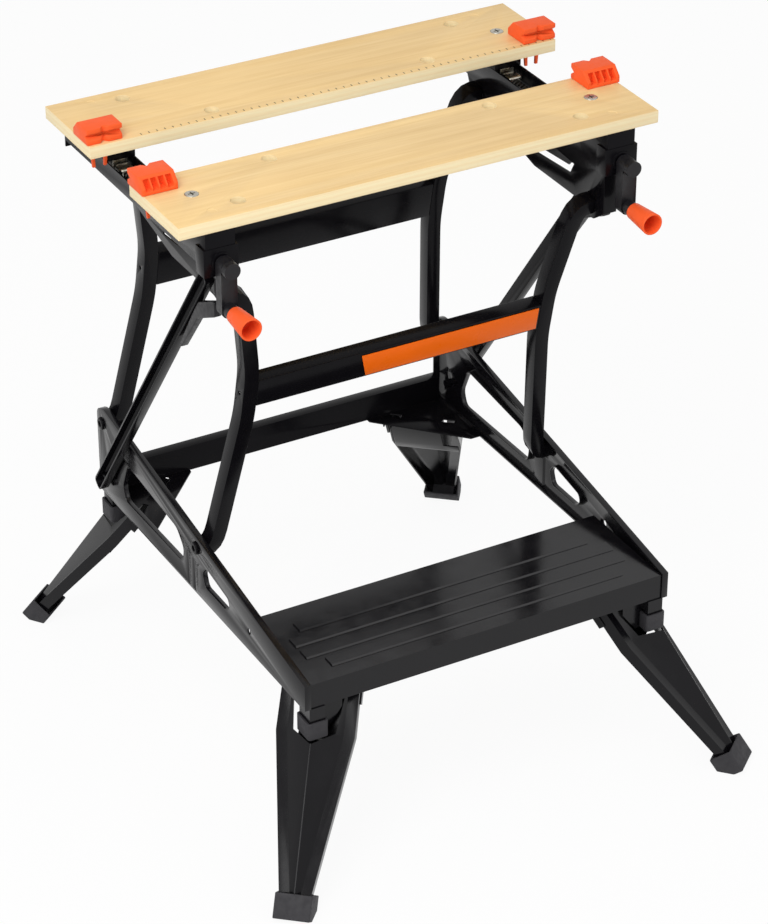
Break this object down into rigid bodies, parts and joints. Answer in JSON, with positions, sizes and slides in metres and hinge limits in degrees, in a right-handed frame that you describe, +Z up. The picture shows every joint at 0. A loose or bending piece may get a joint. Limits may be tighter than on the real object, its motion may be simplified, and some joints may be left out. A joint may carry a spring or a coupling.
{
  "type": "folding workbench",
  "caption": "Folding workbench with two wooden vice jaws driven by crank screws, swivel pegs, parallel folding frames, a step and fold-out legs.",
  "frame": {"origin": "on the floor, midway between the four feet", "axes": "+X along the jaws to the right, +Y to the rear away from the step, +Z up"},
  "size_m": [0.6564, 0.7616, 0.7918],
  "materials": {
    "black_steel": "semi-gloss black paint",
    "wood": "sanded and sealed",
    "orange_plastic": "moulded, fine grain",
    "orange_paint": "gloss paint",
    "black_plastic": "moulded, fine grain",
    "rubber": "matt",
    "zinc": "bright zinc plate"
  },
  "bodies": {
    "base": {"base_plate_left": "black_steel", "base_plate_right": "black_steel", "step": "black_steel", "rear_crossmember": "black_steel", "stub_cap_front_left": "rubber", "stub_cap_front_right": "rubber", "stub_cap_rear_left": "rubber", "stub_cap_rear_right": "rubber", "front_base_bolt_left": "black_steel", "front_base_bolt_right": "black_steel", "rear_base_bolt_left": "black_steel", "rear_base_bolt_right": "black_steel", "strut_bolt_left": "black_steel", "strut_bolt_right": "black_steel"},
    "front_left_leg": {"leg_front_left": "black_steel", "leg_shoe_front_left": "rubber"},
    "front_right_leg": {"leg_front_right": "black_steel", "leg_shoe_front_right": "rubber"},
    "rear_left_leg": {"leg_rear_left": "black_steel", "leg_shoe_rear_left": "rubber"},
    "rear_right_leg": {"leg_rear_right": "black_steel", "leg_shoe_rear_right": "rubber"},
    "front_frame": {"front_upright_left": "black_steel", "front_upright_right": "black_steel", "front_crossbar": "black_steel", "colour_plate": "orange_paint"},
    "rear_frame": {"rear_upright_left": "black_steel", "rear_upright_right": "black_steel", "rear_panel": "black_steel"},
    "top": {"beam_left": "black_steel", "beam_right": "black_steel", "front_jaw": "wood", "jaw_bolt_front_left": "zinc", "jaw_bolt_front_right": "zinc", "front_top_bolt_left": "black_steel", "front_top_bolt_right": "black_steel", "rear_top_bolt_left": "black_steel", "rear_top_bolt_right": "black_steel"},
    "moving_jaw": {"rear_jaw": "wood", "jaw_carrier_left": "black_steel", "jaw_carrier_right": "black_steel", "jaw_nut_left": "zinc", "jaw_nut_right": "zinc", "jaw_bolt_rear_left": "zinc", "jaw_bolt_rear_right": "zinc"},
    "left_screw": {"lead_screw_left": "zinc", "crank_left": "black_plastic"},
    "left_grip": {"grip_left": "orange_plastic"},
    "left_strut": {"strut_left": "black_steel"},
    "left_latch": {"latch_left": "black_plastic"},
    "right_screw": {"lead_screw_right": "zinc", "crank_right": "black_plastic"},
    "right_grip": {"grip_right": "orange_plastic"},
    "right_strut": {"strut_right": "black_steel"},
    "right_latch": {"latch_right": "black_plastic"},
    "front_left_dog": {"dog_front_left": "orange_plastic"},
    "front_right_dog": {"dog_front_right": "orange_plastic"},
    "rear_left_dog": {"dog_rear_left": "orange_plastic"},
    "rear_right_dog": {"dog_rear_right": "orange_plastic"}
  },
  "joints": [
    {"name": "front_left_leg_fold", "type": "hinge", "parent": "base", "child": "front_left_leg", "pos_m": [-0.19, -0.222, 0.21], "axis": [0.766, -0.6428, 0], "range_deg": [0, 100]},
    {"name": "front_right_leg_fold", "type": "hinge", "parent": "base", "child": "front_right_leg", "pos_m": [0.19, -0.222, 0.21], "axis": [0.766, 0.6428, 0], "range_deg": [0, 100]},
    {"name": "rear_left_leg_fold", "type": "hinge", "parent": "base", "child": "rear_left_leg", "pos_m": [-0.19, 0.222, 0.21], "axis": [-0.766, -0.6428, 0], "range_deg": [0, 100]},
    {"name": "rear_right_leg_fold", "type": "hinge", "parent": "base", "child": "rear_right_leg", "pos_m": [0.19, 0.222, 0.21], "axis": [-0.766, 0.6428, 0], "range_deg": [0, 100]},
    {"name": "frame_fold", "type": "hinge", "parent": "base", "child": "front_frame", "pos_m": [0, -0.002, 0.282], "axis": [1, 0, 0], "range_deg": [0, 80]},
    {"name": "rear_frame_fold", "type": "hinge", "parent": "base", "child": "rear_frame", "pos_m": [0, 0.258, 0.318], "axis": [1, 0, 0], "range_deg": [0, 80]},
    {"name": "top_level", "type": "hinge", "parent": "front_frame", "child": "top", "pos_m": [0, -0.086, 0.657], "axis": [1, 0, 0], "range_deg": [-80, 0]},
    {"name": "left_strut_fold", "type": "hinge", "parent": "base", "child": "left_strut", "pos_m": [-0.248, 0.24, 0.25], "axis": [1, 0, 0], "range_deg": [0, 52]},
    {"name": "left_latch_swing", "type": "hinge", "parent": "left_strut", "child": "left_latch", "pos_m": [-0.2525, -0.0609, 0.63977], "axis": [-1, 0, 0], "range_deg": [0, 20]},
    {"name": "right_strut_fold", "type": "hinge", "parent": "base", "child": "right_strut", "pos_m": [0.248, 0.24, 0.25], "axis": [1, 0, 0], "range_deg": [0, 52]},
    {"name": "right_latch_swing", "type": "hinge", "parent": "right_strut", "child": "right_latch", "pos_m": [0.2525, -0.0609, 0.63977], "axis": [-1, 0, 0], "range_deg": [0, 20]},
    {"name": "right_crank_turn", "type": "hinge", "parent": "top", "child": "right_screw", "pos_m": [0.256, -0.114, 0.721], "axis": [0, -1, 0], "range_deg": [-5400, 360]},
    {"name": "left_crank_turn", "type": "hinge", "parent": "top", "child": "left_screw", "pos_m": [-0.256, -0.114, 0.721], "axis": [0, -1, 0], "range_deg": [-5400, 360]},
    {"name": "jaw_slide", "type": "slide", "parent": "top", "child": "moving_jaw", "axis": [0, 1, 0], "range_m": [-0.093, 0.0062]},
    {"name": "left_grip_turn", "type": "hinge", "parent": "left_screw", "child": "left_grip", "pos_m": [-0.256, -0.16, 0.67], "axis": [0, -1, 0], "continuous": true},
    {"name": "right_grip_turn", "type": "hinge", "parent": "right_screw", "child": "right_grip", "pos_m": [0.256, -0.16, 0.67], "axis": [0, -1, 0], "continuous": true},
    {"name": "front_left_dog_swivel", "type": "hinge", "parent": "top", "child": "front_left_dog", "pos_m": [-0.285, -0.014, 0.7725], "axis": [0, 0, 1], "continuous": true},
    {"name": "front_right_dog_swivel", "type": "hinge", "parent": "top", "child": "front_right_dog", "pos_m": [0.285, -0.014, 0.7725], "axis": [0, 0, 1], "continuous": true},
    {"name": "rear_left_dog_swivel", "type": "hinge", "parent": "moving_jaw", "child": "rear_left_dog", "pos_m": [-0.285, 0.1296, 0.7725], "axis": [0, 0, 1], "continuous": true},
    {"name": "rear_right_dog_swivel", "type": "hinge", "parent": "moving_jaw", "child": "rear_right_dog", "pos_m": [0.285, 0.1296, 0.7725], "axis": [0, 0, 1], "continuous": true}
  ],
  "couplings": [
    {"joint": "rear_frame_fold", "follows": "frame_fold", "ratio": 1},
    {"joint": "top_level", "follows": "frame_fold", "ratio": -1},
    {"joint": "left_strut_fold", "follows": "frame_fold", "ratio": 0.65},
    {"joint": "right_strut_fold", "follows": "frame_fold", "ratio": 0.65},
    {"joint": "left_crank_turn", "follows": "right_crank_turn", "ratio": 1},
    {"joint": "jaw_slide", "follows": "right_crank_turn", "m_per_rad": 0.00098676}
  ]
}
